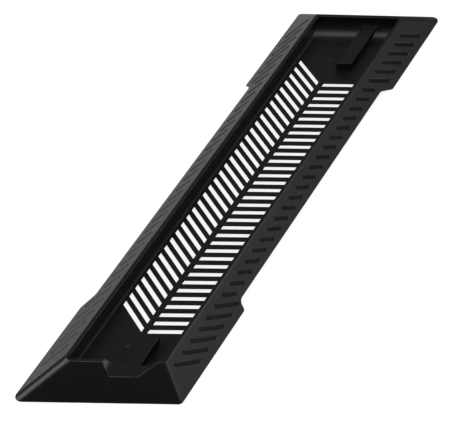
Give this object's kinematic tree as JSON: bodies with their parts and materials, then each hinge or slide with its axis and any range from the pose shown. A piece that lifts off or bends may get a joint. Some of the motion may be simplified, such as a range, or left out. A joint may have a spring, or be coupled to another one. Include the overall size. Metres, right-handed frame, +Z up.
{
  "type": "console stand",
  "caption": "Low upright stand for a slim game console: parallelogram tray with sloping skirts, a keyed slot, a chevron vent floor, grip stripes and rubber feet.",
  "frame": {"origin": "on the table, under the middle of the stand's plan", "axes": "+Z up, +Y along the slot away from the notched end, +X across the slot to the right when the notched end is nearest"},
  "size_m": [0.0728, 0.34, 0.016],
  "materials": {
    "black_abs": "satin fine-grained moulded ABS",
    "foot_rubber": "matte"
  },
  "bodies": {
    "root": {"stand": "black_abs", "foot_front_left": "foot_rubber", "foot_front_right": "foot_rubber", "foot_back_left": "foot_rubber", "foot_back_right": "foot_rubber"}
  },
  "joints": []
}
